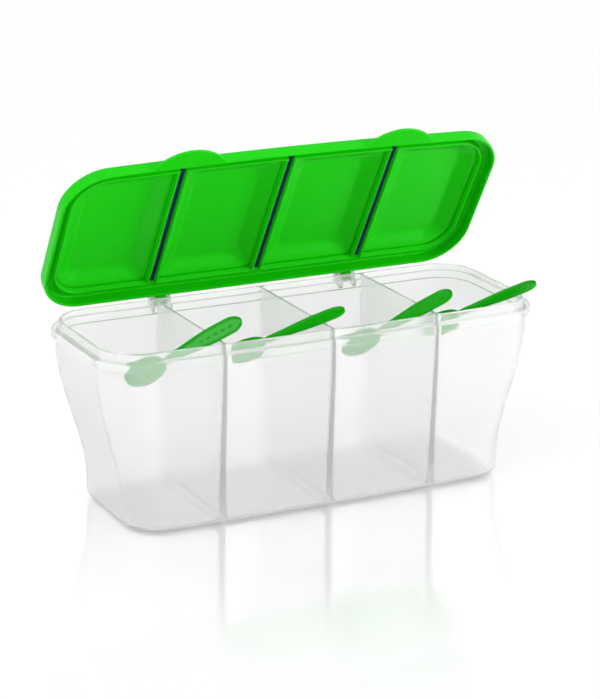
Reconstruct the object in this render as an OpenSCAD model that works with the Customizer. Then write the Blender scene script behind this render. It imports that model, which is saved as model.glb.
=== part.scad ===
// Serving caddy: one tub with four compartments, a hinged lid and four spoons.
// X runs along the row of compartments, the hinge is at +Y, Z is up from the tub's foot.
// The lid is drawn standing open at open_angle, turned about the hinge pins.

/* [Tub] */
// Outer length of the rim
rim_length = 260; // [240:1:300]
// Outer depth of the rim, from front to back, before the front bows out
rim_depth = 90; // [84:1:110]
// Height from the foot to the top of the rim
tub_height = 104; // [96:1:125]
// Thickness of the walls
tub_wall = 1.8; // [1.4:0.1:2.4]
// Thickness of the floor
tub_floor = 2.6; // [1.6:0.1:4]
// Plan radius of the rim's corners
rim_corner = 21; // [17:0.5:26]
// How far the front bows out at mid-length
front_bow = 3; // [0:0.5:5]
// How far the shoulder below the ledge stands out past the rim
shoulder_out = 1.4; // [0.6:0.1:2]
// How far each end wall is drawn in from the shoulder to the foot
end_draw = 14.6; // [8:0.2:16]
// How far the front wall is drawn in from the shoulder to the foot
front_draw = 2.7; // [1:0.1:6]
// How far the back wall is drawn in from the shoulder to the foot
back_draw = 7; // [2:0.5:10]
// Height at which the walls start to swell out
waist_height = 12; // [10:1:24]
// Radius along the bottom edge
foot_radius = 7; // [4:0.5:9]

/* [Rim and ledge] */
// Height of the upright lip above the ledge
lip_height = 4.5; // [3.5:0.1:6]
// Height of the ledge's outer face
ledge_height = 4.5; // [3.5:0.1:6]
// How far the ledge stands out past the lip
ledge_out = 4; // [3.4:0.1:5]

/* [Dividers] */
// Thickness of a divider at its top edge
divider_top = 1.4; // [1:0.1:2]
// Thickness of a divider at the floor
divider_foot = 3.8; // [2:0.1:5]

/* [Lid] */
// Angle at which the lid stands open
open_angle = 60; // [45:1:75]
// Height of the skirt, with the roof
skirt_height = 8; // [7:0.1:10]
// Thickness of the lid
lid_wall = 1.6; // [1.2:0.1:2]
// Clearance between the shut lid and the ledge, and between seals and dividers
shut_gap = 0.3; // [0.2:0.05:0.6]
// How far the skirt's face stays inside the ledge's face
skirt_inset = 0.2; // [0:0.1:0.6]
// Radius of the lid's upper outside edge
lid_edge = 2.2; // [1:0.1:2.6]
// Depth of the plug rims below the roof
plug_depth = 3; // [2.5:0.1:6.5]
// Thickness of the plug rims
plug_wall = 1.4; // [1:0.1:2]
// Clearance between the plug rims and the tub
plug_gap = 1.2; // [0.5:0.1:1.6]
// Radius of a plug rim's corners beside the dividers
plug_corner = 2.5; // [1.5:0.5:8]
// Depth of the recess above each compartment
recess_depth = 5; // [3:0.5:7]
// How far the recess's sides lean in
recess_lean = 8; // [3:0.5:9]
// Width of each seal strip
seal_width = 2; // [1:0.1:2.4]

/* [Thumb tabs] */
// Distance between the middles of the two tabs
tab_spacing = 128; // [100:1:150]
// Width of a tab where it leaves the skirt
tab_width = 43; // [30:1:50]
// How far a tab stands out
tab_out = 10.5; // [6:0.5:14]
// Thickness of a tab
tab_thickness = 1.6; // [1.2:0.1:2.4]

/* [Hinges] */
// Distance between the middles of the two hinges
hinge_spacing = 118; // [90:1:150]
// Distance of the hinge line behind the lid's back face
pivot_back = 3.8; // [3.7:0.1:4.6]
// Height of the hinge line above the skirt's free edge
pivot_rise = 1.2; // [0.9:0.1:2]
// Diameter of a hinge pin
pin_diameter = 3; // [2.4:0.1:3.4]
// Radial clearance between a pin and its bores
pin_clearance = 0.05; // [0.02:0.01:0.1]
// Outside diameter of the bearing eyes and clips
eye_diameter = 6.8; // [6:0.1:7]
// Width of a lid clip
clip_width = 6.4; // [4:0.1:9]
// Width of a bearing eye on the tub
eye_width = 2.4; // [1.8:0.1:4]
// Gap between a clip and the bearing eye beside it
side_gap = 0.2; // [0.1:0.05:0.4]
// Width of the mouth through which a clip snaps on its pin
clip_mouth = 2.3; // [1.6:0.1:2.6]

/* [Spoons] */
// Length of a spoon
spoon_length = 70; // [66:0.5:72]
// Width of the handle near its end
handle_width = 10; // [7:0.2:10.6]
// Thickness of the handle
handle_thickness = 2.2; // [1.6:0.1:3]
// Width of the handle's neck
neck_width = 4.2; // [3:0.2:6]
// Length of the bowl
bowl_length = 23; // [20:0.5:25]
// Width of the bowl
bowl_width = 16; // [13:0.5:17]
// Depth of the bowl
bowl_depth = 4.6; // [3:0.2:6]
// Thickness of the bowl
bowl_wall = 1.2; // [0.8:0.1:1.6]
// Usual slope of a spoon that leans in its compartment
spoon_slope = 20; // [18:0.5:22]
// How far a spoon's handle reaches past the edge that it leans on
spoon_reach = 12.5; // [11.5:0.5:13.5]
// Clearance between a spoon and the edge that it leans on
spoon_rest_gap = 0.3; // [0.2:0.05:0.5]

/* [Hidden] */
$fn = 48;
frosted = [0.90, 0.92, 0.92, 0.55];
bright_green = [0.09, 0.75, 0.0];
spoon_green = [0.04, 0.63, 0.04];
seal_navy = [0.03, 0.05, 0.25];
eps = 0.01;

compartments = 4;
pitch = rim_length / compartments;
half_length = rim_length / 2;
half_depth = rim_depth / 2;
ledge_top = tub_height - lip_height;
ledge_foot = ledge_top - ledge_height;
shoulder_drop = 5;
shoulder_height = ledge_foot - shoulder_drop;
lip_rounding = 0.5;

// Heights and sizes of the shut lid
skirt_edge = ledge_top + shut_gap;
lid_top = skirt_edge + skirt_height;
roof_under = lid_top - lid_wall;
skirt_out = ledge_out - skirt_inset;
lid_back = half_depth + skirt_out;
seal_height = roof_under - tub_height - shut_gap;

// The hinge line runs along X through this point
pivot_y = lid_back + pivot_back;
pivot_z = skirt_edge + pivot_rise;
bore_diameter = pin_diameter + 2 * pin_clearance;
eye_offset = clip_width / 2 + side_gap + eye_width / 2;
pin_length = clip_width + 2 * side_gap + 2 * eye_width;

// Steps of the curves
arc_steps = 7;
front_steps = 10;

// Eases from 0 to 1 as t does
function ease(t) = let (u = min(1, max(0, t))) u * u * (3 - 2 * u);

// Share of the swell reached at height z
function swell(z) = ease((z - waist_height) / (shoulder_height - waist_height));

// How far the bow pushes a point of the front out at x, for a share of the depth
function bow_at(x, share) = front_bow * max(0, 1 - pow(x / half_length, 2)) * max(0, share);

// Points of one rounded corner
function corner(cx, cy, r, from) = [
  for (k = [0 : arc_steps]) [cx + r * cos(from + 90 * k / arc_steps), cy + r * sin(from + 90 * k / arc_steps)]
];

// Rounded outline from x0 to x1 and from front to back, whose left and right corners may differ.
// The front side bows out with the tub's.
function outline(x0, x1, front, back, r_left, r_right) =
  let (
    middle = (front + back) / 2,
    half = (back - front) / 2,
    flat = concat(
      corner(x1 - r_right, back - r_right, r_right, 0),
      corner(x0 + r_left, back - r_left, r_left, 90),
      corner(x0 + r_left, front + r_left, r_left, 180),
      [for (k = [1 : front_steps - 1])
        [x0 + r_left + (x1 - x0 - r_left - r_right) * k / front_steps, front]],
      corner(x1 - r_right, front + r_right, r_right, 270)
    )
  )
  [for (p = flat) [p[0], p[1] - bow_at(p[0], (middle - p[1]) / half)]];

// Outline about the tub's middle
function plan(half_x, front, back, r) = outline(-half_x, half_x, -front, back, r, r);

// The same outline with a height
function at_height(points, z) = [for (p = points) [p[0], p[1], z]];

// Solid through a pile of rings that all have the same number of points
module loft(rings) {
  n = len(rings[0]);
  last = (len(rings) - 1) * n;
  sides = [
    for (i = [0 : len(rings) - 2], j = [0 : n - 1])
      let (a = i * n + j, b = i * n + (j + 1) % n, c = b + n, d = a + n)
        each [[a, d, c], [a, c, b]]
  ];
  foot = [for (j = [0 : n - 1]) j];
  top = [for (j = [0 : n - 1]) last + n - 1 - j];
  polyhedron([for (ring = rings, p = ring) p], concat(sides, [foot], [top]), convexity = 8);
}

// Ring of the tub's wall at height z, moved in by inset
function wall_ring(z, inset) =
  let (draw = 1 - swell(z))
    at_height(plan(
      half_length + shoulder_out - end_draw * draw - inset,
      half_depth + shoulder_out - front_draw * draw - inset,
      half_depth + shoulder_out - back_draw * draw - inset,
      rim_corner - inset), z);

// Ring that stands out past the lip's face
function rim_ring(z, out) =
  at_height(plan(half_length + out, half_depth + out, half_depth + out, rim_corner + out), z);

// Rounding along the bottom, then the wall up to the shoulder
function foot_rings(z0, r, inset) = [
  for (t = [0, 30, 60, 90]) wall_ring(z0 + r * (1 - cos(t)), inset + r * (1 - sin(t)))
];
wall_levels = [for (k = [1 : 9]) waist_height + (shoulder_height - waist_height) * k / 9];

module tub_outside() {
  loft(concat(
    foot_rings(0, foot_radius, 0),
    [for (z = wall_levels) wall_ring(z, 0)],
    [
      rim_ring(ledge_foot, shoulder_out),
      rim_ring(ledge_foot, ledge_out - lip_rounding),
      rim_ring(ledge_foot + lip_rounding, ledge_out),
      rim_ring(ledge_top - lip_rounding, ledge_out),
      rim_ring(ledge_top, ledge_out - lip_rounding),
      rim_ring(ledge_top, 0),
      rim_ring(tub_height - lip_rounding, 0),
      rim_ring(tub_height, -lip_rounding)
    ]
  ));
}

module tub_inside() {
  inner_radius = foot_radius - tub_wall;
  loft(concat(
    foot_rings(tub_floor, inner_radius, tub_wall),
    [for (z = wall_levels) wall_ring(z, tub_wall)],
    [
      rim_ring(ledge_top, -tub_wall),
      rim_ring(tub_height - lip_rounding, -tub_wall),
      rim_ring(tub_height, lip_rounding - tub_wall),
      rim_ring(tub_height + 1, lip_rounding - tub_wall)
    ]
  ));
}

// Upright walls between the compartments, thicker towards the floor
module dividers() {
  for (i = [1 : compartments - 1])
    translate([(i - compartments / 2) * pitch, half_depth + ledge_out, 0])
      rotate([90, 0, 0])
        linear_extrude(rim_depth + 2 * ledge_out + front_bow)
          polygon([
            [-divider_foot / 2, 0],
            [divider_foot / 2, 0],
            [divider_top / 2, tub_height],
            [-divider_top / 2, tub_height]
          ]);
}

// Bearing eye that grows out of the ledge's back
module hinge_eye() {
  reach = pivot_y + eye_diameter / 2;
  clear_of_lid = lid_back + shut_gap;
  root = 2;
  root_inset = 0.4;
  end_rise = 4;
  translate([-eye_width / 2, 0, 0])
    rotate([90, 0, 90])
      linear_extrude(eye_width)
        polygon([
          [lid_back - root, ledge_foot + root_inset],
          [lid_back + root, ledge_foot + root_inset],
          [reach, ledge_foot + end_rise],
          [reach, pivot_z],
          [clear_of_lid, pivot_z],
          [clear_of_lid, ledge_top - root_inset],
          [lid_back - root, ledge_top - root_inset]
        ]);
  translate([-eye_width / 2, pivot_y, pivot_z])
    rotate([0, 90, 0])
      cylinder(d = eye_diameter, h = eye_width);
}

module pin_bores() {
  for (x = [-hinge_spacing / 2, hinge_spacing / 2])
    translate([x - pin_length, pivot_y, pivot_z])
      rotate([0, 90, 0])
        cylinder(d = bore_diameter, h = 2 * pin_length);
}

module tub() {
  color(frosted)
    difference() {
      union() {
        difference() {
          tub_outside();
          difference() {
            tub_inside();
            dividers();
          }
        }
        for (side = [-1, 1], eye = [-1, 1])
          translate([side * hinge_spacing / 2 + eye * eye_offset, 0, 0])
            hinge_eye();
      }
      pin_bores();
    }
}

// Outline over one compartment, moved in from the tub's faces by gap
function cell(i, gap) =
  let (
    x0 = (i - compartments / 2) * pitch,
    x1 = x0 + pitch,
    beside = divider_top / 2 + gap,
    at_wall = tub_wall + gap,
    first = i == 0,
    last = i == compartments - 1,
    outer_r = max(1, rim_corner - at_wall),
    inner_r = max(1, plug_corner + plug_gap - gap)
  )
  outline(
    x0 + (first ? at_wall : beside),
    x1 - (last ? at_wall : beside),
    at_wall - half_depth,
    half_depth - at_wall,
    first ? outer_r : inner_r,
    last ? outer_r : inner_r);

// Frustum over one compartment, from one inset to another
module cell_frustum(i, gap_low, gap_high, z_low, z_high) {
  loft([at_height(cell(i, gap_low), z_low), at_height(cell(i, gap_high), z_high)]);
}

module plug_rim(i) {
  translate([0, 0, roof_under - plug_depth])
    linear_extrude(plug_depth + lid_wall / 2)
      difference() {
        polygon(cell(i, plug_gap));
        polygon(cell(i, plug_gap + plug_wall));
      }
}

module lid_outside() {
  loft([
    rim_ring(skirt_edge, skirt_out),
    rim_ring(lid_top - lid_edge, skirt_out),
    rim_ring(lid_top - lid_edge * 0.3, skirt_out - lid_edge * 0.3),
    rim_ring(lid_top, skirt_out - lid_edge)
  ]);
}

// Crescent that lifts with a thumb, level with the skirt's free edge
module thumb_tab(x) {
  front = lid_back + bow_at(x, 1);
  radius = (pow(tab_width / 2, 2) + pow(tab_out, 2)) / (2 * tab_out);
  translate([x, radius - tab_out - front, skirt_edge])
    cylinder(r = radius, h = tab_thickness, $fn = 96);
}

// Clip that snaps on a hinge pin
module clip_arm(x) {
  translate([x - clip_width / 2, 0, 0]) {
    translate([0, pivot_y, pivot_z])
      rotate([0, 90, 0])
        cylinder(d = eye_diameter, h = clip_width);
    translate([0, lid_back - lid_wall / 2, pivot_z])
      cube([clip_width, pivot_back + lid_wall / 2, eye_diameter / 2]);
  }
}

// Cut that opens a clip below, on the side towards the tub
module clip_mouth_cut(x) {
  mouth_turn = 40;
  translate([x, pivot_y, pivot_z])
    rotate([-mouth_turn, 0, 0])
      translate([-clip_width, -clip_mouth / 2, -eye_diameter])
        cube([2 * clip_width, clip_mouth, eye_diameter]);
}

module lid_shut() {
  recess_border = 0.8;
  recess_gap = plug_gap + plug_wall + recess_border;
  difference() {
    union() {
      difference() {
        union() {
          lid_outside();
          for (i = [0 : compartments - 1])
            cell_frustum(i, recess_gap - lid_wall, recess_gap + recess_lean - lid_wall,
              roof_under + eps, roof_under + recess_depth + lid_wall);
          for (side = [-1, 1])
            thumb_tab(side * tab_spacing / 2);
        }
        translate([0, 0, skirt_edge - 1])
          linear_extrude(roof_under - skirt_edge + 1)
            polygon(plan(half_length + skirt_out - lid_wall, lid_back - lid_wall, lid_back - lid_wall,
              rim_corner + skirt_out - lid_wall));
        for (i = [0 : compartments - 1])
          cell_frustum(i, recess_gap - eps, recess_gap + recess_lean,
            roof_under - 1, roof_under + recess_depth);
      }
      for (i = [0 : compartments - 1])
        plug_rim(i);
      for (side = [-1, 1])
        clip_arm(side * hinge_spacing / 2);
    }
    pin_bores();
    for (side = [-1, 1])
      clip_mouth_cut(side * hinge_spacing / 2);
  }
}

// Turns what is drawn shut about the hinge line to where the lid stands open
module stood_open() {
  translate([0, pivot_y, pivot_z])
    rotate([-open_angle, 0, 0])
      translate([0, -pivot_y, -pivot_z])
        children();
}

module lid() {
  color(bright_green)
    stood_open()
      lid_shut();
}

// Soft strip in the slot over one divider
module seal_strip(i) {
  x = (i - compartments / 2) * pitch;
  back = half_depth - tub_wall;
  front = back + bow_at(x, 1);
  color(seal_navy)
    stood_open()
      translate([x - seal_width / 2, -front, tub_height + shut_gap])
        cube([seal_width, front + back, seal_height]);
}

module hinge_pin(side) {
  color(frosted)
    translate([side * hinge_spacing / 2 - pin_length / 2, pivot_y, pivot_z])
      rotate([0, 90, 0])
        cylinder(d = pin_diameter, h = pin_length);
}

// Share of a spoon's length over which the handle widens from its neck
taper_share = 0.45;

// Half-width of the handle at a distance from the spoon's tip
function handle_half(s) =
  let (
    half = handle_width / 2,
    from_neck = (spoon_length - bowl_length - s) / (spoon_length * taper_share),
    taper = neck_width / 2 + (half - neck_width / 2) * ease(from_neck),
    round_end = s < half ? sqrt(pow(half, 2) - pow(half - s, 2)) : half
  )
  min(taper, round_end);

// Flat leaf-shaped handle along -X from the tip, with its width along Z
module spoon_handle() {
  reach = spoon_length - bowl_length * 0.85;
  steps = 24;
  stations = [for (k = [0 : steps]) reach * pow(k / steps, 1.6)];
  upper = [for (s = stations) [-s, handle_half(s)]];
  lower = [for (k = [steps : -1 : 1]) [-stations[k], -handle_half(stations[k])]];
  translate([0, handle_thickness / 2, 0])
    rotate([90, 0, 0])
      linear_extrude(handle_thickness)
        polygon(concat(upper, lower));
}

// Rings of one half of an egg-shaped dish, from its rim to its deepest point
dish_sides = 24;
function dish_rings(length, width, depth, middle) = [
  for (t = [0, 22, 44, 66, 84])
    [for (k = [0 : dish_sides - 1])
      let (a = 360 * k / dish_sides)
        [middle + cos(t) * length / 2 * cos(a), sin(t) * depth, -cos(t) * width / 2 * sin(a)]]
];

// Hollow bowl that opens towards the front, at the spoon's far end
module spoon_bowl() {
  middle = bowl_length / 2 - spoon_length;
  rim_side = handle_thickness / 2;
  translate([0, -rim_side, 0])
    difference() {
      loft(dish_rings(bowl_length, bowl_width, bowl_depth + bowl_wall, middle));
      translate([0, -eps, 0])
        loft(dish_rings(bowl_length - 2 * bowl_wall, bowl_width - 2 * bowl_wall, bowl_depth, middle));
    }
}

// Where each spoon leans: how far in from the tub's front wall, and on which edge
handle_inset = 8.8;
spoon_deeper = [-4.7, 0.6, -3.8, 2.8];
end_rest_in = 2.9;
end_reach_less = 3.5;

// How far each spoon is turned in plan, stands steeper than usual and lies over on its back
spoon_plan_turn = [8, 12, 13, 25];
spoon_steeper = [4, -1.5, 6, 2.5];
spoon_roll = [52, 78, 65, 77];

module spoon(i) {
  last = i == compartments - 1;
  slope = spoon_slope + spoon_steeper[i];
  roll = spoon_roll[i];
  reach = spoon_reach - (last ? end_reach_less : 0);
  half_height = (handle_width * cos(roll) + handle_thickness * sin(roll)) / 2;
  edge_x = (i + 1 - compartments / 2) * pitch - (last ? end_rest_in : divider_top / 2);
  edge_y = tub_wall + handle_inset + spoon_deeper[i] - half_depth;
  tip_rise = spoon_rest_gap + half_height / cos(slope) + reach * tan(slope);
  color(spoon_green)
    translate([edge_x, edge_y, tub_height])
      rotate([0, 0, -spoon_plan_turn[i]])
        translate([reach, 0, tip_rise])
          rotate([0, -slope, 0])
            rotate([-roll, 0, 0]) {
              spoon_handle();
              spoon_bowl();
            }
}

tub();
lid();
hinge_pin(-1);  // hinge_pin_left
hinge_pin(1);  // hinge_pin_right
seal_strip(1);  // seal_strip_left
seal_strip(2);  // seal_strip_middle
seal_strip(3);  // seal_strip_right
spoon(0);  // spoon_1
spoon(1);  // spoon_2
spoon(2);  // spoon_3
spoon(3);  // spoon_4
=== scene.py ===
"""Looks of the condiment caddy: a translucent tub, an open green lid with navy strips that paint the deep
shade in its slots, and four spoons.
"""

from math import cos, pi, radians, sin, sqrt, tan

import bmesh
import bpy
from mathutils import Matrix, Vector


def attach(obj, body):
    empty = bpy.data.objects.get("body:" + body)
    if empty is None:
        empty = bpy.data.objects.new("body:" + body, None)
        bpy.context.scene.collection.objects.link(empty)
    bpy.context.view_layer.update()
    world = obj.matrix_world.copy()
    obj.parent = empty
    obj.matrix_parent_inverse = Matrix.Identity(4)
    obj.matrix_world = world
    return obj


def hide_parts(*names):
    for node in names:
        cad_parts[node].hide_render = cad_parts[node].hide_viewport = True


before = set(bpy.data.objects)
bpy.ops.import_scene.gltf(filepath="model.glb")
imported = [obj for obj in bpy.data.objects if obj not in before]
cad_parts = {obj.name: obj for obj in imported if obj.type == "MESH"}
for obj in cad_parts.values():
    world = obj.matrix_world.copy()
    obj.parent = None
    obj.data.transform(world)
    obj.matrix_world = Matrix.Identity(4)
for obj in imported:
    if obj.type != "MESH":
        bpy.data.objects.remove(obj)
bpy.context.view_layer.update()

# Shapes are worked out in millimetres, and new_piece turns them into metres
MM = 0.001

# Tub
RIM_LENGTH = 260
RIM_DEPTH = 90
TUB_HEIGHT = 104
TUB_WALL = 1.8
TUB_FLOOR = 2.6
RIM_CORNER = 21
FRONT_BOW = 3
SHOULDER_OUT = 1.4
END_DRAW = 14.6
FRONT_DRAW = 2.7
BACK_DRAW = 7
WAIST_HEIGHT = 12
FOOT_RADIUS = 7
LIP_HEIGHT = 4.5
LEDGE_HEIGHT = 4.5
LEDGE_OUT = 4
SHOULDER_DROP = 5
DIVIDER_TOP = 1.4
DIVIDER_FOOT = 3.8
DIVIDER_FILLET = 3
FLOOR_FILLET = 4
LIP_ROUNDING = 0.6
LEDGE_ROUNDING = 0.7
LEDGE_FILLET = 0.8

# Lid, as it lies shut
OPEN_ANGLE = 60
SKIRT_HEIGHT = 8
LID_WALL = 1.6
SHUT_GAP = 0.3
SKIRT_INSET = 0.2
LID_EDGE = 2.2
SKIRT_ROUNDING = 0.5
CHANNEL_FILLET = 1.2
PLUG_DEPTH = 3
PLUG_WALL = 1.4
PLUG_GAP = 1.2
PLUG_FILLET = 0.7
SLOT_OUTWARDS = 1.5
SLOT_INWARDS = 2.5
RIB_REACH = 4.2
RIB_STEP_LEAD = 0.4
RIB_STEP_BEFORE = 1.2
RIB_STEP_RUN = 1.8
RIB_END_ROUNDING = 1
RIB_END_LEFT = 0.2
RECESS_GAP = 3.4
RECESS_DEPTH = 5
RECESS_LEAN = 10
RECESS_CORNER = 3
RECESS_CORNER_GROWTH = 0.35
# Navy strips that paint the deep shade in the slots between the ribs
SHADE_STRIP_WIDTH = 2
SHADE_STRIP_ROUNDING = 0.4
SHADE_STRIP_REACH = 2.2

# Thumb tabs
TAB_SPACING = 128
TAB_WIDTH = 43
TAB_OUT = 10.5
TAB_THICKNESS = 1.6
TAB_ROUNDING = 0.5

# Hinges
HINGE_SPACING = 118
PIVOT_BACK = 3.8
PIVOT_RISE = 1.2
PIN_DIAMETER = 3
PIN_CLEARANCE = 0.05
EYE_DIAMETER = 6.8
CLIP_WIDTH = 6.4
EYE_WIDTH = 2.4
SIDE_GAP = 0.2
CLIP_MOUTH = 2.3
CLIP_MOUTH_TURN = 40
EYE_ROOT = 2
EYE_ROOT_INSET = 0.4
EYE_END_RISE = 4
HINGE_ROUNDING = 0.3
PIN_DOME = 0.4

# Spoons
SPOON_LENGTH = 70
HANDLE_WIDTH = 10
HANDLE_THICKNESS = 2.2
HANDLE_TIP = 7.5
HANDLE_TROUGH = 1.1
TROUGH_MARGIN = 0.3
TROUGH_RUN = 14
HANDLE_RIM = 1.2
HANDLE_EDGE = 1.3
NECK_WIDTH = 4.2
TAPER_SHARE = 0.45
SHOULDER_HALF = 4
FACE_SHARE = 0.97
BOWL_LENGTH = 23
BOWL_WIDTH = 16
BOWL_DEPTH = 4.6
BOWL_WALL = 1.2
BOWL_EDGE = 0.9
HOLLOW_BEFORE = 2
HOLLOW_RUN = 6
HOLLOW_LENGTH_SHARE = 0.9
HOLLOW_WIDTH_SHARE = 0.85
SPOON_SLOPE = 20
SPOON_REACH = 12.5
SPOON_REST_GAP = 0.3
HANDLE_INSET = 8.8
END_REST_IN = 2.9
END_REACH_LESS = 3.5
SPOON_DEEPER = (-4.7, 0.6, -3.8, 2.8)
SPOON_TURNS = (8, 12, 13, 25)
SPOON_STEEPER = (4, -1.5, 6, 2.5)
SPOON_ROLLS = (52, 78, 65, 77)
BEAD_COUNT = 5
BEAD_FIRST = 7
BEAD_SPACING = 4.4
BEAD_SIZE = (2.6, 0.9, 1.3)

# Fineness of the curves
CORNER_STEPS = 14
FRONT_STEPS = 32
FILLET_STEPS = 6
WALL_STEPS = 28
RECESS_STEPS = 16
RIB_STEPS = 8
ROUND_SIDES = 48
TAB_SIDES = 160
TIP_STEPS = 12
HANDLE_STEPS = 40
BOWL_STEPS = 28
SECTION_STEPS = 20
SHARP_ANGLE = 38

# How far solids that are joined reach into each other, and cutters reach past what they cut
OVERLAP = 0.02
ROOF_SINK = 0.3
CUTTER_REACH = 1

# Scales and depths of the surface noise
PATCH_SCALE = 22
GRAIN_SCALE = 1400
GRAIN_DEPTH = 0.0002
RIPPLE_SCALE = 34
RIPPLE_DEPTH = 0.002
GLOSS_SPREAD = 0.15

# Camera, solved from the rim, the dividers and the foot in the photograph
PHOTO_WIDTH = 600
FOCAL_PIXELS = 2590.555
CAMERA_AZIMUTH = 27.5768
CAMERA_ELEVATION = 17.6653
CAMERA_ROLL = 0.8787
CAMERA_DISTANCE = 1.44909
CAMERA_TARGET = (0.0036, 0.0004, 0.0781)
SENSOR_WIDTH = 36

# Light and floor, with the distances in metres between which the floor's mirror fades
WORLD_LIGHT = 0.8
FLOOR_MIRROR = 0.68
FLOOR_ROUGHNESS = 0.1
FLOOR_LIFT = 0.22
FAR_MIRROR = 0.3
FAR_LIFT = 0.9
FADE_START = 0.13
FADE_END = 0.3
FLOOR_HALF = 4000
FLOOR_THICKNESS = 20

# Worked out from the sizes above
COMPARTMENTS = 4
PITCH = RIM_LENGTH / COMPARTMENTS
HALF_LENGTH = RIM_LENGTH / 2
HALF_DEPTH = RIM_DEPTH / 2
LEDGE_TOP = TUB_HEIGHT - LIP_HEIGHT
LEDGE_FOOT = LEDGE_TOP - LEDGE_HEIGHT
SHOULDER_HEIGHT = LEDGE_FOOT - SHOULDER_DROP
SKIRT_EDGE = LEDGE_TOP + SHUT_GAP
LID_TOP = SKIRT_EDGE + SKIRT_HEIGHT
ROOF = LID_TOP - LID_WALL
SKIRT_OUT = LEDGE_OUT - SKIRT_INSET
LID_BACK = HALF_DEPTH + SKIRT_OUT
PLUG_TIP = ROOF - PLUG_DEPTH
PIVOT = Vector((0, LID_BACK + PIVOT_BACK, SKIRT_EDGE + PIVOT_RISE))
EYE_OFFSET = CLIP_WIDTH / 2 + SIDE_GAP + EYE_WIDTH / 2
PIN_LENGTH = CLIP_WIDTH + 2 * SIDE_GAP + 2 * EYE_WIDTH
BOWL_START = SPOON_LENGTH - BOWL_LENGTH
DIVIDERS = [(i - COMPARTMENTS / 2) * PITCH for i in range(1, COMPARTMENTS)]
SIDES = (-1, 1)


# Outlines and rings

def ease(t):
    t = min(1, max(0, t))
    return t * t * (3 - 2 * t)


def steps(count, first=0, last=1):
    """count + 1 even steps from first to last."""
    return [first + (last - first) * k / count for k in range(count + 1)]


def bow_at(x, share=1):
    """How far the front bows out at x, for a share of the depth."""
    return FRONT_BOW * max(0, 1 - (x / HALF_LENGTH) ** 2) * max(0, share)


def corner(cx, cy, radius, start):
    turns = [radians(start + 90 * k / CORNER_STEPS) for k in range(CORNER_STEPS + 1)]
    return [(cx + radius * cos(t), cy + radius * sin(t)) for t in turns]


def outline(x0, x1, front, back, r_left, r_right):
    """Rounded outline, counter-clockwise, whose front side bows out."""
    middle, half = (front + back) / 2, (back - front) / 2
    run = steps(FRONT_STEPS, x0 + r_left, x1 - r_right)[1:-1]
    flat = (
        corner(x1 - r_right, back - r_right, r_right, 0)
        + corner(x0 + r_left, back - r_left, r_left, 90)
        + corner(x0 + r_left, front + r_left, r_left, 180)
        + [(x, front) for x in run]
        + corner(x1 - r_right, front + r_right, r_right, 270)
    )
    return [(x, y - bow_at(x, (middle - y) / half)) for x, y in flat]


def at_height(points, z):
    return [(x, y, z) for x, y in points]


def swell(z):
    return ease((z - WAIST_HEIGHT) / (SHOULDER_HEIGHT - WAIST_HEIGHT))


def wall_faces(z, inset):
    """Half length, front, back and corner radius of the tub's wall at a height."""
    draw = 1 - swell(z)
    out = SHOULDER_OUT * (1 - ease((z - SHOULDER_HEIGHT) / (LEDGE_TOP - SHOULDER_HEIGHT))) - inset
    return (
        HALF_LENGTH + out - END_DRAW * draw,
        HALF_DEPTH + out - FRONT_DRAW * draw,
        HALF_DEPTH + out - BACK_DRAW * draw,
        RIM_CORNER - inset,
    )


def wall_ring(z, inset):
    half, front, back, radius = wall_faces(z, inset)
    return at_height(outline(-half, half, -front, back, radius, radius), z)


def rim_ring(z, out):
    """Ring that stands out past the lip's face."""
    half, deep, radius = HALF_LENGTH + out, HALF_DEPTH + out, RIM_CORNER + out
    return at_height(outline(-half, half, -deep, deep, radius, radius), z)


def arc(radius, turns=FILLET_STEPS):
    """Steps of a quarter circle, as pairs that go from (0, radius) to (radius, 0)."""
    return [(radius * sin(t), radius * cos(t)) for t in steps(turns, 0, pi / 2)]


# Meshes

def new_piece(name, bm):
    """Object from a mesh in millimetres, with its faces turned outwards."""
    bmesh.ops.remove_doubles(bm, verts=bm.verts, dist=1e-4)
    bmesh.ops.recalc_face_normals(bm, faces=bm.faces)
    bmesh.ops.scale(bm, vec=(MM, MM, MM), verts=bm.verts)
    mesh = bpy.data.meshes.new(name)
    bm.to_mesh(mesh)
    bm.free()
    piece = bpy.data.objects.new(name, mesh)
    bpy.context.scene.collection.objects.link(piece)
    return piece


def loft(name, rings, closed=False):
    """Solid through a pile of rings, with end caps, or joined end to end if closed."""
    bm = bmesh.new()
    loops = [[bm.verts.new(p) for p in ring] for ring in rings]
    pairs = list(zip(loops, loops[1:]))
    if closed:
        pairs.append((loops[-1], loops[0]))
    for lower, upper in pairs:
        for j in range(len(lower)):
            bm.faces.new((lower[j - 1], lower[j], upper[j], upper[j - 1]))
    if not closed:
        bm.faces.new(loops[0][::-1])
        bm.faces.new(loops[-1])
    return new_piece(name, bm)


def box_piece(name, low, high):
    rings = [
        [(low[0], low[1], z), (high[0], low[1], z), (high[0], high[1], z), (low[0], high[1], z)]
        for z in (low[2], high[2])
    ]
    return loft(name, rings)


def shrunk(profile, amount):
    """Convex profile moved inwards."""
    moved = []
    for j, point in enumerate(profile):
        before, here, after = Vector(profile[j - 1]), Vector(point), Vector(profile[(j + 1) % len(profile)])
        inward = Vector((0, 0))
        for side in (here - before, after - here):
            inward += Vector((-side.y, side.x)).normalized()
        moved.append(tuple(here + inward.normalized() * amount))
    return moved


def slab(name, profile, x, width, rounding):
    """Slab about x with rounded edges, from a counter-clockwise profile of (y, z) points."""
    half = width / 2
    rings = []
    for across, along in arc(rounding):
        rings.append([(x - half + rounding - along, y, z) for y, z in shrunk(profile, rounding - across)])
    for along, across in arc(rounding):
        rings.append([(x + half - rounding + along, y, z) for y, z in shrunk(profile, rounding - across)])
    return loft(name, rings)


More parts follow.
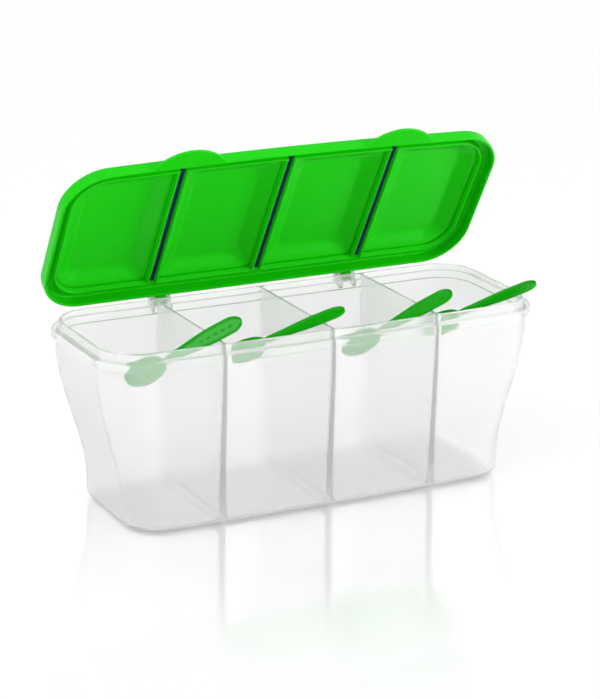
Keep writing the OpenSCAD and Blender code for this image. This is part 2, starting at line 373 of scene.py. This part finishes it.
def round_ring(x, y, z, radius):
    """Circle about X."""
    turns = [2 * pi * k / ROUND_SIDES for k in range(ROUND_SIDES)]
    return [(x, y + radius * cos(t), z + radius * sin(t)) for t in turns]


def apply_modifiers(piece):
    graph = bpy.context.evaluated_depsgraph_get()
    baked = bpy.data.meshes.new_from_object(piece.evaluated_get(graph))
    old = piece.data
    piece.modifiers.clear()
    piece.data = baked
    bpy.data.meshes.remove(old)


def combine(piece, others, operation):
    """Boolean of a piece with others, which are used up."""
    for other in others:
        modifier = piece.modifiers.new(operation, "BOOLEAN")
        modifier.operation = operation
        modifier.solver = "EXACT"
        modifier.object = other
    apply_modifiers(piece)
    for other in others:
        bpy.data.meshes.remove(other.data)
    return piece


def join(piece, *others):
    return combine(piece, others, "UNION")


def cut(piece, *others):
    return combine(piece, others, "DIFFERENCE")


def smooth(piece):
    """Smooth shading with sharp edges kept, and flat faces that stay flat."""
    for polygon in piece.data.polygons:
        polygon.use_smooth = True
    piece.data.set_sharp_from_angle(angle=radians(SHARP_ANGLE))
    modifier = piece.modifiers.new("flat faces", "WEIGHTED_NORMAL")
    modifier.keep_sharp = True
    apply_modifiers(piece)


def dress(piece, material, body, *nodes, slot):
    """Finish a piece that stands for CAD nodes and rides on their body."""
    smooth(piece)
    piece.data.materials.clear()
    piece.data.materials.append(material)
    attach(piece, body)
    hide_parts(*nodes)


# Tub

def tub_outside():
    rings = [wall_ring(FOOT_RADIUS - z, FOOT_RADIUS - across) for across, z in arc(FOOT_RADIUS)]
    rings += [wall_ring(z, 0) for z in steps(WALL_STEPS, WAIST_HEIGHT, SHOULDER_HEIGHT)]
    under = LEDGE_FOOT - LEDGE_FILLET
    rings += [
        rim_ring(under + up, SHOULDER_OUT + LEDGE_FILLET - across) for up, across in arc(LEDGE_FILLET)
    ]
    r = LEDGE_ROUNDING
    rings += [rim_ring(LEDGE_FOOT + r - drop, LEDGE_OUT - r + out) for out, drop in arc(r)]
    rings += [rim_ring(LEDGE_TOP - r + up, LEDGE_OUT - r + out) for up, out in arc(r)]
    r = LEDGE_FILLET
    rings += [rim_ring(LEDGE_TOP + r - drop, r - back) for back, drop in arc(r)]
    r = LIP_ROUNDING
    rings += [rim_ring(TUB_HEIGHT - r + up, out - r) for up, out in arc(r)]
    return loft("tub", rings)


def divider_half(z):
    share = min(1, z / TUB_HEIGHT)
    return (DIVIDER_FOOT + (DIVIDER_TOP - DIVIDER_FOOT) * share) / 2


def cavity_ring(i, z, inset):
    """Ring inside compartment i, moved in from its faces."""
    half, front, back, radius = wall_faces(z, TUB_WALL)
    beside = divider_half(z)
    fillet = max(LIP_ROUNDING, DIVIDER_FILLET - inset * DIVIDER_FILLET / (FLOOR_FILLET + 1))
    first, last = i == 0, i == COMPARTMENTS - 1
    x0 = -half if first else (i - COMPARTMENTS / 2) * PITCH + beside
    x1 = half if last else (i + 1 - COMPARTMENTS / 2) * PITCH - beside
    points = outline(
        x0 + inset, x1 - inset, inset - front, back - inset,
        radius - inset if first else fillet,
        radius - inset if last else fillet,
    )
    return at_height(points, z)


def compartment(i):
    """Space of one compartment, with a rounded floor and a flare that rounds the edges at the rim."""
    r = FLOOR_FILLET
    rings = [cavity_ring(i, TUB_FLOOR + r - drop, r - across) for across, drop in arc(r)]
    rings += [cavity_ring(i, z, 0) for z in steps(WALL_STEPS, WAIST_HEIGHT, SHOULDER_HEIGHT)]
    rings += [cavity_ring(i, z, 0) for z in steps(FILLET_STEPS, SHOULDER_HEIGHT, LEDGE_TOP)[1:]]
    r = LIP_ROUNDING
    rings += [cavity_ring(i, TUB_HEIGHT - r + up, across - r) for up, across in arc(r)]
    rings += [cavity_ring(i, TUB_HEIGHT + CUTTER_REACH, -r)]
    return loft("compartment", rings)


def eye_profile():
    """Side view of a bearing eye that grows out of the ledge's back."""
    radius = EYE_DIAMETER / 2
    turns = steps(4 * FILLET_STEPS, 0, pi)
    top = [(PIVOT.y + radius * cos(t), PIVOT.z + radius * sin(t)) for t in turns]
    foot, shelf = LEDGE_FOOT + EYE_ROOT_INSET, LEDGE_TOP - EYE_ROOT_INSET
    below = [
        (LID_BACK - EYE_ROOT, foot),
        (LID_BACK + EYE_ROOT, foot),
        (PIVOT.y + radius, LEDGE_FOOT + EYE_END_RISE),
    ]
    return below + top + [(LID_BACK + SHUT_GAP, shelf), (LID_BACK - EYE_ROOT, shelf)]


def pin_bores():
    radius = PIN_DIAMETER / 2 + PIN_CLEARANCE
    bores = []
    for side in SIDES:
        middle = side * HINGE_SPACING / 2
        ends = (middle - PIN_LENGTH, middle + PIN_LENGTH)
        bores.append(loft("bore", [round_ring(x, PIVOT.y, PIVOT.z, radius) for x in ends]))
    return bores


def make_tub():
    tub = tub_outside()
    eyes = [
        slab("eye", eye_profile(), side * HINGE_SPACING / 2 + eye * EYE_OFFSET, EYE_WIDTH, HINGE_ROUNDING)
        for side in SIDES for eye in SIDES
    ]
    join(tub, *eyes)
    return cut(tub, *[compartment(i) for i in range(COMPARTMENTS)], *pin_bores())


# Lid

def cell(i, gap, fillet):
    """Outline over compartment i, moved in from the tub's faces by gap."""
    first, last = i == 0, i == COMPARTMENTS - 1
    beside, at_wall = DIVIDER_TOP / 2 + gap, TUB_WALL + gap
    x0 = (i - COMPARTMENTS / 2) * PITCH
    outer = RIM_CORNER - at_wall
    return outline(
        x0 + (at_wall if first else beside),
        x0 + PITCH - (at_wall if last else beside),
        at_wall - HALF_DEPTH, HALF_DEPTH - at_wall,
        outer if first else fillet,
        outer if last else fillet,
    )


def dish(i, foot, top, gap, start):
    """Dish over compartment i whose sides sweep from foot to top in one soft curve."""
    rings = [at_height(cell(i, gap, RECESS_CORNER), start)]
    for t in steps(RECESS_STEPS):
        fillet = RECESS_CORNER + RECESS_CORNER_GROWTH * RECESS_LEAN * t
        rings.append(at_height(cell(i, gap + RECESS_LEAN * t, fillet), foot + (top - foot) * ease(t)))
    return loft("dish", rings)


def lid_outside():
    r = SKIRT_ROUNDING
    rings = [rim_ring(SKIRT_EDGE + r - drop, SKIRT_OUT - r + out) for out, drop in arc(r)]
    r = LID_EDGE
    rings += [rim_ring(LID_TOP - r + up, SKIRT_OUT - r + out) for up, out in arc(r)]
    return loft("lid", rings)


def lid_inside():
    face, r = SKIRT_OUT - LID_WALL, SKIRT_ROUNDING
    rings = [rim_ring(SKIRT_EDGE - CUTTER_REACH, face + r)]
    rings += [rim_ring(SKIRT_EDGE + up, face + left) for up, left in arc(r)]
    r = CHANNEL_FILLET
    rings += [rim_ring(ROOF - r + up, face - r + out) for up, out in arc(r)]
    return loft("inside", rings)


def rib_profile(thickness, tip):
    """Half of a rib's section from its root to its tip, as (distance from the middle, z)."""
    half, r = thickness / 2, PLUG_FILLET
    root = [(half + r, ROOF + r / 2)]
    root += [(half + r - across, ROOF - up) for up, across in arc(r)]
    turns = steps(FILLET_STEPS, 0, pi / 2)
    return root + [(half * cos(t), tip + half * (1 - sin(t))) for t in turns]


def plug_ring():
    """Rib round inside the tub's lip, open at the front and notched at the back over each divider."""
    half = rib_profile(PLUG_WALL, PLUG_TIP)
    middle = PLUG_WALL / 2
    section = [(middle - d, z) for d, z in half] + [(middle + d, z) for d, z in half[::-1]]
    rings = [rim_ring(z, -TUB_WALL - PLUG_GAP - inset) for inset, z in section]
    ring = loft("plug", rings, closed=True)
    half_slot = DIVIDER_TOP / 2 + PLUG_GAP
    slots = []
    below, above = PLUG_TIP - CUTTER_REACH, ROOF + CUTTER_REACH
    back = HALF_DEPTH - TUB_WALL - PLUG_GAP
    over_divider = TUB_HEIGHT + SHUT_GAP
    for x in DIVIDERS:
        left, right = x - half_slot, x + half_slot
        front = TUB_WALL + PLUG_GAP - HALF_DEPTH - bow_at(x)
        slots.append(box_piece(
            "slot", (left, front - SLOT_OUTWARDS, below), (right, front + SLOT_INWARDS, above)
        ))
        slots.append(box_piece(
            "notch", (left, back - SLOT_INWARDS, below), (right, back + SLOT_OUTWARDS, over_divider)
        ))
    return cut(ring, *slots)


def rib(x, divider):
    """Rib along a divider, which steps up over the tub's lip at the back."""
    front = TUB_WALL + PLUG_GAP + PLUG_WALL / 2 - HALF_DEPTH - bow_at(divider)
    back = HALF_DEPTH - TUB_WALL - PLUG_GAP
    over_lip = TUB_HEIGHT + SHUT_GAP
    step_start = back - RIB_STEP_BEFORE
    round_start = back + RIB_REACH - RIB_END_ROUNDING
    stations = [front, step_start - RIB_STEP_LEAD]
    stations += steps(RIB_STEPS, step_start, step_start + RIB_STEP_RUN) + [round_start]
    stations += [round_start + along for along, _ in arc(RIB_END_ROUNDING)]
    rings = []
    for y in stations:
        tip = PLUG_TIP + (over_lip - PLUG_TIP) * ease((y - step_start) / RIB_STEP_RUN)
        past = max(0, y - round_start) / RIB_END_ROUNDING
        tip += (ROOF - over_lip - RIB_END_LEFT) * (1 - sqrt(max(0, 1 - past * past)))
        half = rib_profile(PLUG_WALL, tip)
        rings.append([(x - d, y, z) for d, z in half] + [(x + d, y, z) for d, z in half[::-1]])
    return loft("rib", rings)


def thumb_tab(x):
    """Crescent that lifts with a thumb, level with the skirt's free edge."""
    front = LID_BACK + bow_at(x)
    radius = ((TAB_WIDTH / 2) ** 2 + TAB_OUT ** 2) / (2 * TAB_OUT)
    middle = radius - TAB_OUT - front
    r = TAB_ROUNDING
    levels = [(SKIRT_EDGE + r - drop, radius - r + out) for out, drop in arc(r)]
    levels += [(SKIRT_EDGE + TAB_THICKNESS - r + up, radius - r + out) for up, out in arc(r)]
    turns = [2 * pi * k / TAB_SIDES for k in range(TAB_SIDES)]
    return loft("tab", [[(x + s * cos(t), middle + s * sin(t), z) for t in turns] for z, s in levels])


def clip_profile():
    """Side view of a clip, from the lid's back round the pin."""
    radius = EYE_DIAMETER / 2
    turns = steps(6 * FILLET_STEPS, -pi, pi / 2)
    around = [(PIVOT.y + radius * cos(t), PIVOT.z + radius * sin(t)) for t in turns]
    return around + [(LID_BACK - LID_WALL / 2, PIVOT.z + radius), (LID_BACK - LID_WALL / 2, PIVOT.z)]


def clip_mouth(x):
    """Cutter for the mouth through which a clip snaps on its pin."""
    low = (x - CLIP_WIDTH, PIVOT.y - CLIP_MOUTH / 2, PIVOT.z - EYE_DIAMETER)
    mouth = box_piece("mouth", low, (x + CLIP_WIDTH, PIVOT.y + CLIP_MOUTH / 2, PIVOT.z))
    turn_about_pivot(mouth, -CLIP_MOUTH_TURN)
    return mouth


def turn_about_pivot(piece, angle):
    """Turn a mesh about the hinge line."""
    pivot = PIVOT * MM
    turn = Matrix.Rotation(radians(angle), 4, "X")
    piece.data.transform(Matrix.Translation(pivot) @ turn @ Matrix.Translation(-pivot))


def make_lid():
    lid = lid_outside()
    outer_gap = RECESS_GAP - 0.75 * LID_WALL
    cells = range(COMPARTMENTS)
    join(
        lid,
        *[dish(i, LID_TOP - OVERLAP, LID_TOP + RECESS_DEPTH, outer_gap, ROOF + ROOF_SINK) for i in cells],
        *[thumb_tab(side * TAB_SPACING / 2) for side in SIDES],
    )
    below = ROOF - CUTTER_REACH
    recesses = [dish(i, ROOF - OVERLAP, ROOF + RECESS_DEPTH, RECESS_GAP, below) for i in cells]
    cut(lid, lid_inside(), *recesses)
    beside = DIVIDER_TOP / 2 + PLUG_GAP + PLUG_WALL / 2
    hinges = [side * HINGE_SPACING / 2 for side in SIDES]
    join(
        lid,
        plug_ring(),
        *[rib(x + side * beside, x) for x in DIVIDERS for side in SIDES],
        *[slab("clip", clip_profile(), x, CLIP_WIDTH, HINGE_ROUNDING) for x in hinges],
    )
    cut(lid, *pin_bores(), *[clip_mouth(x) for x in hinges])
    turn_about_pivot(lid, -OPEN_ANGLE)
    return lid


def make_painted_shade_strip(name, x):
    """Navy strip between two ribs that paints the deep shade of the slot there, and curves up into the roof
    at the front.
    """
    half, r = SHADE_STRIP_WIDTH / 2, SHADE_STRIP_ROUNDING
    foot = TUB_HEIGHT + SHUT_GAP
    front = TUB_WALL + PLUG_GAP - HALF_DEPTH - bow_at(x) - SHADE_STRIP_REACH
    back = HALF_DEPTH - TUB_WALL - PLUG_GAP - PLUG_WALL
    curve = ROOF - r - foot
    rings = []
    for y, up in [(front + curve - a, curve - b) for a, b in arc(curve)][::-1] + [(back, 0)]:
        side = [(half, ROOF + r)] + [(half - r + out, foot + up + r - drop) for drop, out in arc(r)[::-1]]
        rings.append([(x + d, y, z) for d, z in side + [(-d, z) for d, z in side[::-1]]])
    strip = loft(name, rings)
    turn_about_pivot(strip, -OPEN_ANGLE)
    return strip


def make_hinge_pin(name, side):
    """Pin with domed ends."""
    radius, dome = PIN_DIAMETER / 2, PIN_DOME
    half = PIN_LENGTH / 2
    levels = [(dome - along - half, radius - dome + out) for out, along in arc(dome)]
    levels += [(half - dome + along, radius - dome + out) for along, out in arc(dome)]
    middle = side * HINGE_SPACING / 2
    return loft(name, [round_ring(middle + x, PIVOT.y, PIVOT.z, size) for x, size in levels])


# Spoons

def half_width(s):
    """Half-width of the spoon at a distance from the handle's tip."""
    half = HANDLE_WIDTH / 2
    taper = NECK_WIDTH / 2
    taper += (half - taper) * ease((BOWL_START - s) / (SPOON_LENGTH * TAPER_SHARE))
    if s < HANDLE_TIP:
        taper = min(taper, half * sqrt(max(0, 1 - (1 - s / HANDLE_TIP) ** 2)))
    along = bowl_share(s)
    dish_half = BOWL_WIDTH / 2 * sqrt(max(0, 1 - along * along))
    into_bowl = ease((s - BOWL_START + SHOULDER_HALF) / (2 * SHOULDER_HALF))
    if s > BOWL_START + SHOULDER_HALF:
        return dish_half
    return max(dish_half, taper * (1 - into_bowl) + dish_half * into_bowl)


def bowl_share(s):
    """Distance from the bowl's middle, as a share of half its length."""
    return (s - BOWL_START - BOWL_LENGTH / 2) / (BOWL_LENGTH / 2)


def spoon_section(s):
    """Closed section of the spoon: its hollow front, then its rounded back."""
    half = half_width(s)
    bowl = ease((s - BOWL_START + HOLLOW_BEFORE) / HOLLOW_RUN)
    along = bowl_share(s)
    rim = -HANDLE_THICKNESS / 2
    inside = sqrt(max(0, 1 - (along / HOLLOW_LENGTH_SHARE) ** 2))
    outside = sqrt(max(0, 1 - along ** 2))
    edge = HANDLE_EDGE * (1 - bowl) + BOWL_EDGE * bowl
    neck = ease((BOWL_START - s) / TROUGH_RUN)
    front, back = [], []
    for turn in steps(SECTION_STEPS, -pi / 2, pi / 2):
        u = sin(turn)
        inner = max(0, half - abs(u) * half)
        trough = HANDLE_TROUGH * neck * ease((inner - TROUGH_MARGIN) / HANDLE_RIM)
        hollow = BOWL_DEPTH * inside * sqrt(max(0, 1 - (u / HOLLOW_WIDTH_SHARE) ** 2))
        front.append((u * half * FACE_SHARE, rim + trough * (1 - bowl) + hollow * bowl))
        belly = (HANDLE_THICKNESS - HANDLE_EDGE) * (1 - bowl)
        belly += (BOWL_DEPTH + BOWL_WALL - BOWL_EDGE) * outside * bowl
        back.append((u * half * FACE_SHARE, rim + edge + belly * cos(turn)))
    sides = [(half, rim + edge / 2)], [(-half, rim + edge / 2)]
    return front + sides[0] + back[::-1] + sides[1]


def beads():
    """Row of small raised grips in the handle's trough."""
    length, height, width = (size / 2 for size in BEAD_SIZE)
    floor = HANDLE_TROUGH - HANDLE_THICKNESS / 2
    made = []
    for k in range(BEAD_COUNT):
        bm = bmesh.new()
        bmesh.ops.create_uvsphere(bm, u_segments=20, v_segments=12, radius=1)
        bmesh.ops.scale(bm, vec=(length, height, width), verts=bm.verts)
        bmesh.ops.translate(bm, vec=(-BEAD_FIRST - k * BEAD_SPACING, floor, 0), verts=bm.verts)
        made.append(new_piece("bead", bm))
    return made


def make_spoon(name, i):
    stations = [HANDLE_TIP * (1 - cos(t)) for t in steps(TIP_STEPS, 0, pi / 2)]
    stations += steps(HANDLE_STEPS, HANDLE_TIP, BOWL_START)[1:]
    half = BOWL_LENGTH / 2
    stations += [SPOON_LENGTH - half - half * cos(t) for t in steps(BOWL_STEPS, 0, pi)][1:]
    rings = [[(-s, y, w) for w, y in spoon_section(s)] for s in stations]
    spoon = loft(name, rings)
    join(spoon, *beads())
    last = i == COMPARTMENTS - 1
    slope, roll = radians(SPOON_SLOPE + SPOON_STEEPER[i]), radians(SPOON_ROLLS[i])
    reach = SPOON_REACH - (END_REACH_LESS if last else 0)
    half_height = (HANDLE_WIDTH * cos(roll) + HANDLE_THICKNESS * sin(roll)) / 2
    edge_x = (i + 1 - COMPARTMENTS / 2) * PITCH - (END_REST_IN if last else DIVIDER_TOP / 2)
    edge_y = TUB_WALL + HANDLE_INSET + SPOON_DEEPER[i] - HALF_DEPTH
    rise = SPOON_REST_GAP + half_height / cos(slope) + reach * tan(slope)
    place = Matrix.Translation(Vector((edge_x, edge_y, TUB_HEIGHT)) * MM)
    place @= Matrix.Rotation(-radians(SPOON_TURNS[i]), 4, "Z")
    place @= Matrix.Translation(Vector((reach, 0, rise)) * MM)
    place @= Matrix.Rotation(-slope, 4, "Y")
    place @= Matrix.Rotation(-roll, 4, "X")
    spoon.data.transform(place)
    return spoon


# Materials

def plastic(name, colour, roughness, specular, grain=0.06, ripple=0.0, shade=0.04):
    """Moulded plastic: fine surface grain, a faint ripple from the mould and slight patches of shade."""
    material = bpy.data.materials.new(name)
    material.use_nodes = True
    nodes, links = material.node_tree.nodes, material.node_tree.links
    shader = nodes["Principled BSDF"]
    shader.inputs["Specular IOR Level"].default_value = specular
    place = nodes.new("ShaderNodeTexCoord")

    patches = nodes.new("ShaderNodeTexNoise")
    patches.inputs["Scale"].default_value = PATCH_SCALE
    patches.inputs["Detail"].default_value = 3
    links.new(place.outputs["Object"], patches.inputs["Vector"])
    tint = nodes.new("ShaderNodeMix")
    tint.data_type = "RGBA"
    tint.inputs["A"].default_value = [c * (1 - shade) for c in colour] + [1]
    tint.inputs["B"].default_value = [min(1, c * (1 + shade)) for c in colour] + [1]
    links.new(patches.outputs["Fac"], tint.inputs["Factor"])
    links.new(tint.outputs["Result"], shader.inputs["Base Color"])

    gloss = nodes.new("ShaderNodeMapRange")
    gloss.inputs["To Min"].default_value = roughness * (1 - GLOSS_SPREAD)
    gloss.inputs["To Max"].default_value = roughness * (1 + GLOSS_SPREAD)
    links.new(patches.outputs["Fac"], gloss.inputs["Value"])
    links.new(gloss.outputs["Result"], shader.inputs["Roughness"])

    fine = nodes.new("ShaderNodeTexNoise")
    fine.inputs["Scale"].default_value = GRAIN_SCALE
    fine.inputs["Detail"].default_value = 2
    links.new(place.outputs["Object"], fine.inputs["Vector"])
    skin = nodes.new("ShaderNodeBump")
    skin.inputs["Strength"].default_value = grain
    skin.inputs["Distance"].default_value = GRAIN_DEPTH
    links.new(fine.outputs["Fac"], skin.inputs["Height"])
    if ripple:
        waves = nodes.new("ShaderNodeTexNoise")
        waves.inputs["Scale"].default_value = RIPPLE_SCALE
        waves.inputs["Detail"].default_value = 1
        links.new(place.outputs["Object"], waves.inputs["Vector"])
        sway = nodes.new("ShaderNodeBump")
        sway.inputs["Strength"].default_value = ripple
        sway.inputs["Distance"].default_value = RIPPLE_DEPTH
        links.new(waves.outputs["Fac"], sway.inputs["Height"])
        links.new(sway.outputs["Normal"], skin.inputs["Normal"])
    links.new(skin.outputs["Normal"], shader.inputs["Normal"])
    return material


def frosted_plastic():
    material = plastic(
        "frosted_plastic", (0.99, 0.99, 0.99), roughness=0.18, specular=0.5,
        grain=0.05, ripple=0.05, shade=0.006,
    )
    shader = material.node_tree.nodes["Principled BSDF"]
    shader.inputs["Transmission Weight"].default_value = 0.8
    shader.inputs["IOR"].default_value = 1.3
    return material


# Stage

def make_camera():
    azimuth, elevation, roll = (radians(a) for a in (CAMERA_AZIMUTH, CAMERA_ELEVATION, CAMERA_ROLL))
    forward = Vector((sin(azimuth) * cos(elevation), cos(azimuth) * cos(elevation), -sin(elevation)))
    level = Vector((cos(azimuth), -sin(azimuth), 0))
    above = level.cross(forward)
    right = level * cos(roll) + above * sin(roll)
    up = above * cos(roll) - level * sin(roll)
    camera = bpy.data.objects.new("camera", bpy.data.cameras.new("camera"))
    camera.data.sensor_fit = "HORIZONTAL"
    camera.data.sensor_width = SENSOR_WIDTH
    camera.data.lens = FOCAL_PIXELS * SENSOR_WIDTH / PHOTO_WIDTH
    place = Matrix((right, up, -forward)).transposed().to_4x4()
    place.translation = Vector(CAMERA_TARGET) - CAMERA_DISTANCE * forward
    camera.matrix_world = place
    bpy.context.scene.collection.objects.link(camera)
    bpy.context.scene.camera = camera


def background_rays(tree):
    """Number that is 1 for rays that show the background, straight or through plastic, and 0 for light."""
    rays = tree.nodes.new("ShaderNodeLightPath")
    total = rays.outputs["Is Camera Ray"]
    for name in ("Is Glossy Ray", "Is Transmission Ray"):
        either = tree.nodes.new("ShaderNodeMath")
        either.operation = "MAXIMUM"
        tree.links.new(total, either.inputs[0])
        tree.links.new(rays.outputs[name], either.inputs[1])
        total = either.outputs[0]
    return total


def fading(tree, near, far):
    """Number that goes from near to far with the distance from the caddy."""
    nodes, links = tree.nodes, tree.links
    place = nodes.new("ShaderNodeTexCoord")
    distance = nodes.new("ShaderNodeVectorMath")
    distance.operation = "LENGTH"
    links.new(place.outputs["Object"], distance.inputs[0])
    fade = nodes.new("ShaderNodeMapRange")
    fade.interpolation_type = "SMOOTHSTEP"
    fade.inputs["From Min"].default_value = FADE_START
    fade.inputs["From Max"].default_value = FADE_END
    fade.inputs["To Min"].default_value = near
    fade.inputs["To Max"].default_value = far
    links.new(distance.outputs["Value"], fade.inputs["Value"])
    return fade.outputs["Result"]


def make_floor():
    """Glossy white floor, lifted towards white where it is seen, most of all far from the caddy."""
    floor = box_piece("floor", (-FLOOR_HALF, -FLOOR_HALF, -FLOOR_THICKNESS), (FLOOR_HALF, FLOOR_HALF, 0))
    material = bpy.data.materials.new("floor")
    material.use_nodes = True
    tree = material.node_tree
    nodes, links = tree.nodes, tree.links
    nodes.remove(nodes["Principled BSDF"])
    white = (1, 1, 1, 1)
    matt = nodes.new("ShaderNodeBsdfDiffuse")
    matt.inputs["Color"].default_value = (0.93, 0.93, 0.935, 1)
    mirror = nodes.new("ShaderNodeBsdfGlossy")
    mirror.inputs["Color"].default_value = white
    mirror.inputs["Roughness"].default_value = FLOOR_ROUGHNESS
    surface = nodes.new("ShaderNodeMixShader")
    links.new(fading(tree, FLOOR_MIRROR, FAR_MIRROR), surface.inputs["Fac"])
    links.new(matt.outputs[0], surface.inputs[1])
    links.new(mirror.outputs[0], surface.inputs[2])
    glow = nodes.new("ShaderNodeEmission")
    glow.inputs["Color"].default_value = white
    lift = nodes.new("ShaderNodeMath")
    lift.operation = "MULTIPLY"
    links.new(background_rays(tree), lift.inputs[0])
    links.new(fading(tree, FLOOR_LIFT, FAR_LIFT), lift.inputs[1])
    final = nodes.new("ShaderNodeMixShader")
    links.new(lift.outputs[0], final.inputs["Fac"])
    links.new(surface.outputs[0], final.inputs[1])
    links.new(glow.outputs[0], final.inputs[2])
    links.new(final.outputs[0], nodes["Material Output"].inputs["Surface"])
    floor.data.materials.append(material)


def make_world():
    """White all round where it is seen, and a plain level of light elsewhere."""
    world = bpy.data.worlds.new("world")
    bpy.context.scene.world = world
    world.use_nodes = True
    tree = world.node_tree
    level = tree.nodes.new("ShaderNodeMapRange")
    level.inputs["To Min"].default_value = WORLD_LIGHT
    level.inputs["To Max"].default_value = 1
    tree.links.new(background_rays(tree), level.inputs["Value"])
    tree.links.new(level.outputs["Result"], tree.nodes["Background"].inputs["Strength"])
    tree.nodes["Background"].inputs["Color"].default_value = (1, 1, 1, 1)


def make_lamp(name, place, size, watts, aim=(0, 0, 0.08)):
    """Soft square lamp that faces the caddy."""
    lamp = bpy.data.lights.new(name, "AREA")
    lamp.size = size
    lamp.energy = watts
    holder = bpy.data.objects.new(name, lamp)
    holder.location = place
    holder.rotation_euler = (Vector(aim) - Vector(place)).to_track_quat("-Z", "Y").to_euler()
    bpy.context.scene.collection.objects.link(holder)


# Everything in place

make_camera()

frosted = frosted_plastic()
lid_green = plastic("lid_green", (0.006, 0.5, 0.001), roughness=0.25, specular=0.12, ripple=0.03)
spoon_green = plastic("spoon_green", (0.004, 0.31, 0.002), roughness=0.12, specular=0.16)
natural = plastic("pin_natural", (0.7, 0.73, 0.72), roughness=0.3, specular=0.4)
# Navy for the strips that paint the deep shade in the lid's slots
navy = plastic("seal_navy", (0.004, 0.006, 0.09), roughness=0.5, specular=0.3, grain=0.2)

dress(make_tub(), frosted, "tub", "tub", slot="frosted_plastic")
dress(make_lid(), lid_green, "lid", "lid", slot="lid_plastic")
# Painted shade: a navy strip in each slot between the ribs, dressed for the seal strip nodes
for name, x in zip(("left", "middle", "right"), DIVIDERS):
    strip = make_painted_shade_strip("strip_" + name, x)
    dress(strip, navy, "lid", "seal_strip_" + name, slot="seal")
for name, side in zip(("left", "right"), SIDES):
    pin = make_hinge_pin("pin_" + name, side)
    dress(pin, natural, "hinge_pins", "hinge_pin_" + name, slot="pin_plastic")
for i in range(COMPARTMENTS):
    node = f"spoon_{i + 1}"
    dress(make_spoon("small_" + node, i), spoon_green, node, node, slot="spoon_plastic")

make_floor()
make_world()
make_lamp("key", (1.55, -1.25, 0.35), 0.9, 25)
make_lamp("top", (-1.2, -0.4, 1.9), 1.4, 24)
make_lamp("fill", (-0.7, -1.5, 0.25), 0.8, 2.5)
bpy.context.scene.view_settings.view_transform = "Standard"
